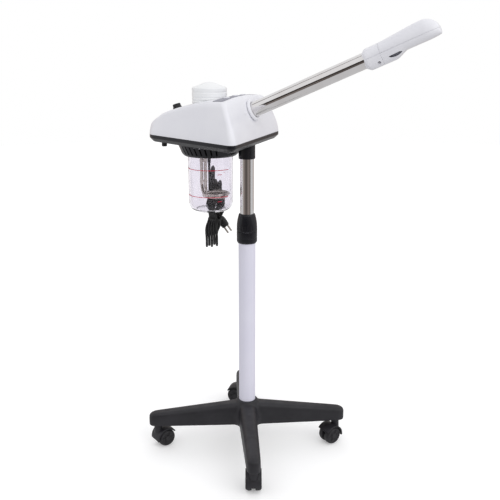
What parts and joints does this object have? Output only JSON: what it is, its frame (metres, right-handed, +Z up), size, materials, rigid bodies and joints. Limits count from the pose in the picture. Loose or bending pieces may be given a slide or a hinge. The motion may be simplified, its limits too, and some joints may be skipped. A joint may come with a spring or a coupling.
{
  "type": "facial steamer",
  "caption": "Salon facial steamer: wedge-shaped boiler head with a clear water jar, a long chromed steam arm and nozzle, on a telescopic column with a castor base.",
  "frame": {"origin": "on the floor under the castors, at the centre of the object's box in plan", "axes": "+Z up; +X from the column towards the nozzle, the way the steam arm points; +Y to the left of the arm"},
  "size_m": [0.6596, 0.454, 1.0276],
  "materials": {
    "casing_white": "moulded plastic, semi-gloss",
    "cap_white": "moulded plastic, semi-gloss",
    "column_white": "powder coat",
    "tray_black": "moulded plastic, satin",
    "base_black": "glass-filled nylon, fine texture",
    "soft_black": "matt",
    "chrome": "polished",
    "steel": "satin",
    "panel_grey": "satin film",
    "jar_clear": "clear",
    "silicone": "matt",
    "board": "solder mask"
  },
  "bodies": {
    "stand": {"star_base": "base_black", "column_bolt": "steel", "outer_column": "column_white", "column_collar": "tray_black", "split_collet": "silicone"},
    "caster_1": {"caster_hood_1": "base_black", "caster_stem_1": "steel", "caster_axle_1": "steel"},
    "wheel_1_left": {"wheel_1_left": "base_black"},
    "wheel_1_right": {"wheel_1_right": "base_black"},
    "caster_2": {"caster_hood_2": "base_black", "caster_stem_2": "steel", "caster_axle_2": "steel"},
    "wheel_2_left": {"wheel_2_left": "base_black"},
    "wheel_2_right": {"wheel_2_right": "base_black"},
    "caster_3": {"caster_hood_3": "base_black", "caster_stem_3": "steel", "caster_axle_3": "steel"},
    "wheel_3_left": {"wheel_3_left": "base_black"},
    "wheel_3_right": {"wheel_3_right": "base_black"},
    "caster_4": {"caster_hood_4": "base_black", "caster_stem_4": "steel", "caster_axle_4": "steel"},
    "wheel_4_left": {"wheel_4_left": "base_black"},
    "wheel_4_right": {"wheel_4_right": "base_black"},
    "lock_nut": {"twist_lock_nut": "tray_black"},
    "mast": {"inner_column": "chrome", "slide_bush": "soft_black"},
    "head": {"mast_socket": "tray_black", "upper_casing": "casing_white", "lower_tray": "tray_black", "vent_bowl": "tray_black", "heating_element": "steel", "boiler_lid": "steel", "steam_chamber": "silicone", "filler_neck": "casing_white", "jar_gasket": "silicone", "steam_duct": "silicone", "control_panel": "panel_grey", "circuit_board": "board", "arm_bezel": "casing_white", "cord_gland": "soft_black", "cord_drop": "soft_black", "cord_hank": "soft_black", "mains_plug": "soft_black"},
    "jar_lock": {"jar_lock_ring": "tray_black"},
    "jar": {"water_jar": "jar_clear"},
    "cap_insert": {"cap_seal": "silicone"},
    "cap": {"filler_cap": "cap_white"},
    "knob": {"timer_knob": "soft_black"},
    "power_key": {"power_button": "casing_white"},
    "steam_key": {"steam_button": "casing_white"},
    "ozone_key": {"ozone_button": "casing_white"},
    "fuse_cap": {"fuse_holder_cap": "soft_black"},
    "arm": {"arm_tube": "chrome", "nozzle_collar": "casing_white", "collar_screw": "steel"},
    "nozzle": {"nozzle_upper_shell": "casing_white", "nozzle_lower_shell": "casing_white", "steam_outlet": "soft_black"}
  },
  "joints": [
    {"name": "caster_swivel_1", "type": "hinge", "parent": "stand", "child": "caster_1", "pos_m": [0.11607, 0.09325, 0.06], "axis": [0, 0, 1], "continuous": true},
    {"name": "wheel_spin_1_left", "type": "hinge", "parent": "caster_1", "child": "wheel_1_left", "pos_m": [0.10656, 0.07915, 0.02207], "axis": [0.829, -0.5592, 0], "continuous": true},
    {"name": "wheel_spin_1_right", "type": "hinge", "parent": "caster_1", "child": "wheel_1_right", "pos_m": [0.10656, 0.07915, 0.02207], "axis": [0.829, -0.5592, 0], "continuous": true},
    {"name": "caster_swivel_2", "type": "hinge", "parent": "stand", "child": "caster_2", "pos_m": [-0.18085, 0.20367, 0.06], "axis": [0, 0, 1], "continuous": true},
    {"name": "wheel_spin_2_left", "type": "hinge", "parent": "caster_2", "child": "wheel_2_left", "pos_m": [-0.19775, 0.20189, 0.02207], "axis": [0.1045, -0.9945, 0], "continuous": true},
    {"name": "wheel_spin_2_right", "type": "hinge", "parent": "caster_2", "child": "wheel_2_right", "pos_m": [-0.19775, 0.20189, 0.02207], "axis": [0.1045, -0.9945, 0], "continuous": true},
    {"name": "caster_swivel_3", "type": "hinge", "parent": "stand", "child": "caster_3", "pos_m": [-0.29127, -0.09325, 0.06], "axis": [0, 0, 1], "continuous": true},
    {"name": "wheel_spin_3_left", "type": "hinge", "parent": "caster_3", "child": "wheel_3_left", "pos_m": [-0.28176, -0.07915, 0.02207], "axis": [-0.829, 0.5592, 0], "continuous": true},
    {"name": "wheel_spin_3_right", "type": "hinge", "parent": "caster_3", "child": "wheel_3_right", "pos_m": [-0.28176, -0.07915, 0.02207], "axis": [-0.829, 0.5592, 0], "continuous": true},
    {"name": "caster_swivel_4", "type": "hinge", "parent": "stand", "child": "caster_4", "pos_m": [0.00565, -0.20367, 0.06], "axis": [0, 0, 1], "continuous": true},
    {"name": "wheel_spin_4_left", "type": "hinge", "parent": "caster_4", "child": "wheel_4_left", "pos_m": [-0.00044, -0.1878, 0.02207], "axis": [-0.9336, -0.3584, 0], "continuous": true},
    {"name": "wheel_spin_4_right", "type": "hinge", "parent": "caster_4", "child": "wheel_4_right", "pos_m": [-0.00044, -0.1878, 0.02207], "axis": [-0.9336, -0.3584, 0], "continuous": true},
    {"name": "lock_nut_turn", "type": "hinge", "parent": "stand", "child": "lock_nut", "pos_m": [-0.0876, 0, 0.577], "axis": [0, 0, 1], "range_deg": [0, 180]},
    {"name": "column_height", "type": "slide", "parent": "stand", "child": "mast", "axis": [0, 0, 1], "range_m": [-0.11, 0.2]},
    {"name": "head_swivel", "type": "hinge", "parent": "mast", "child": "head", "pos_m": [-0.0876, 0, 0.74], "axis": [0, 0, 1], "continuous": true},
    {"name": "jar_lock_turn", "type": "hinge", "parent": "head", "child": "jar_lock", "pos_m": [-0.1786, 0, 0.74], "axis": [0, 0, 1], "range_deg": [0, 45]},
    {"name": "jar_lower", "type": "slide", "parent": "jar_lock", "child": "jar", "axis": [0, 0, -1], "range_m": [0, 0.15]},
    {"name": "cap_lift", "type": "slide", "parent": "head", "child": "cap_insert", "axis": [0, 0, 1], "range_m": [0, 0.05]},
    {"name": "cap_turn", "type": "hinge", "parent": "cap_insert", "child": "cap", "pos_m": [-0.1786, 0, 0.87], "axis": [0, 0, 1], "range_deg": [0, 270]},
    {"name": "timer_turn", "type": "hinge", "parent": "head", "child": "knob", "pos_m": [-0.2596, 0, 0.83332], "axis": [-0.3115, 0, 0.9503], "range_deg": [-300, 0]},
    {"name": "power_press", "type": "slide", "parent": "head", "child": "power_key", "axis": [0.1152, 0.047, -0.9922], "range_m": [0, 0.0015], "stiffness_N_per_m": 900, "springref_m": -0.001},
    {"name": "steam_press", "type": "slide", "parent": "head", "child": "steam_key", "axis": [0.1153, 0, -0.9933], "range_m": [0, 0.0015], "stiffness_N_per_m": 900, "springref_m": -0.001},
    {"name": "ozone_press", "type": "slide", "parent": "head", "child": "ozone_key", "axis": [0.1152, -0.047, -0.9922], "range_m": [0, 0.0015], "stiffness_N_per_m": 900, "springref_m": -0.001},
    {"name": "fuse_cap_turn", "type": "hinge", "parent": "head", "child": "fuse_cap", "pos_m": [-0.2796, -0.034, 0.752], "axis": [0, 0, 1], "range_deg": [0, 90]},
    {"name": "arm_turn", "type": "hinge", "parent": "head", "child": "arm", "pos_m": [-0.0774, 0, 0.8333], "axis": [0.915, 0, 0.4035], "range_deg": [-90, 90]},
    {"name": "nozzle_turn", "type": "hinge", "parent": "arm", "child": "nozzle", "pos_m": [0.21081, 0, 0.96042], "axis": [0.915, 0, 0.4035], "range_deg": [-180, 180]}
  ]
}
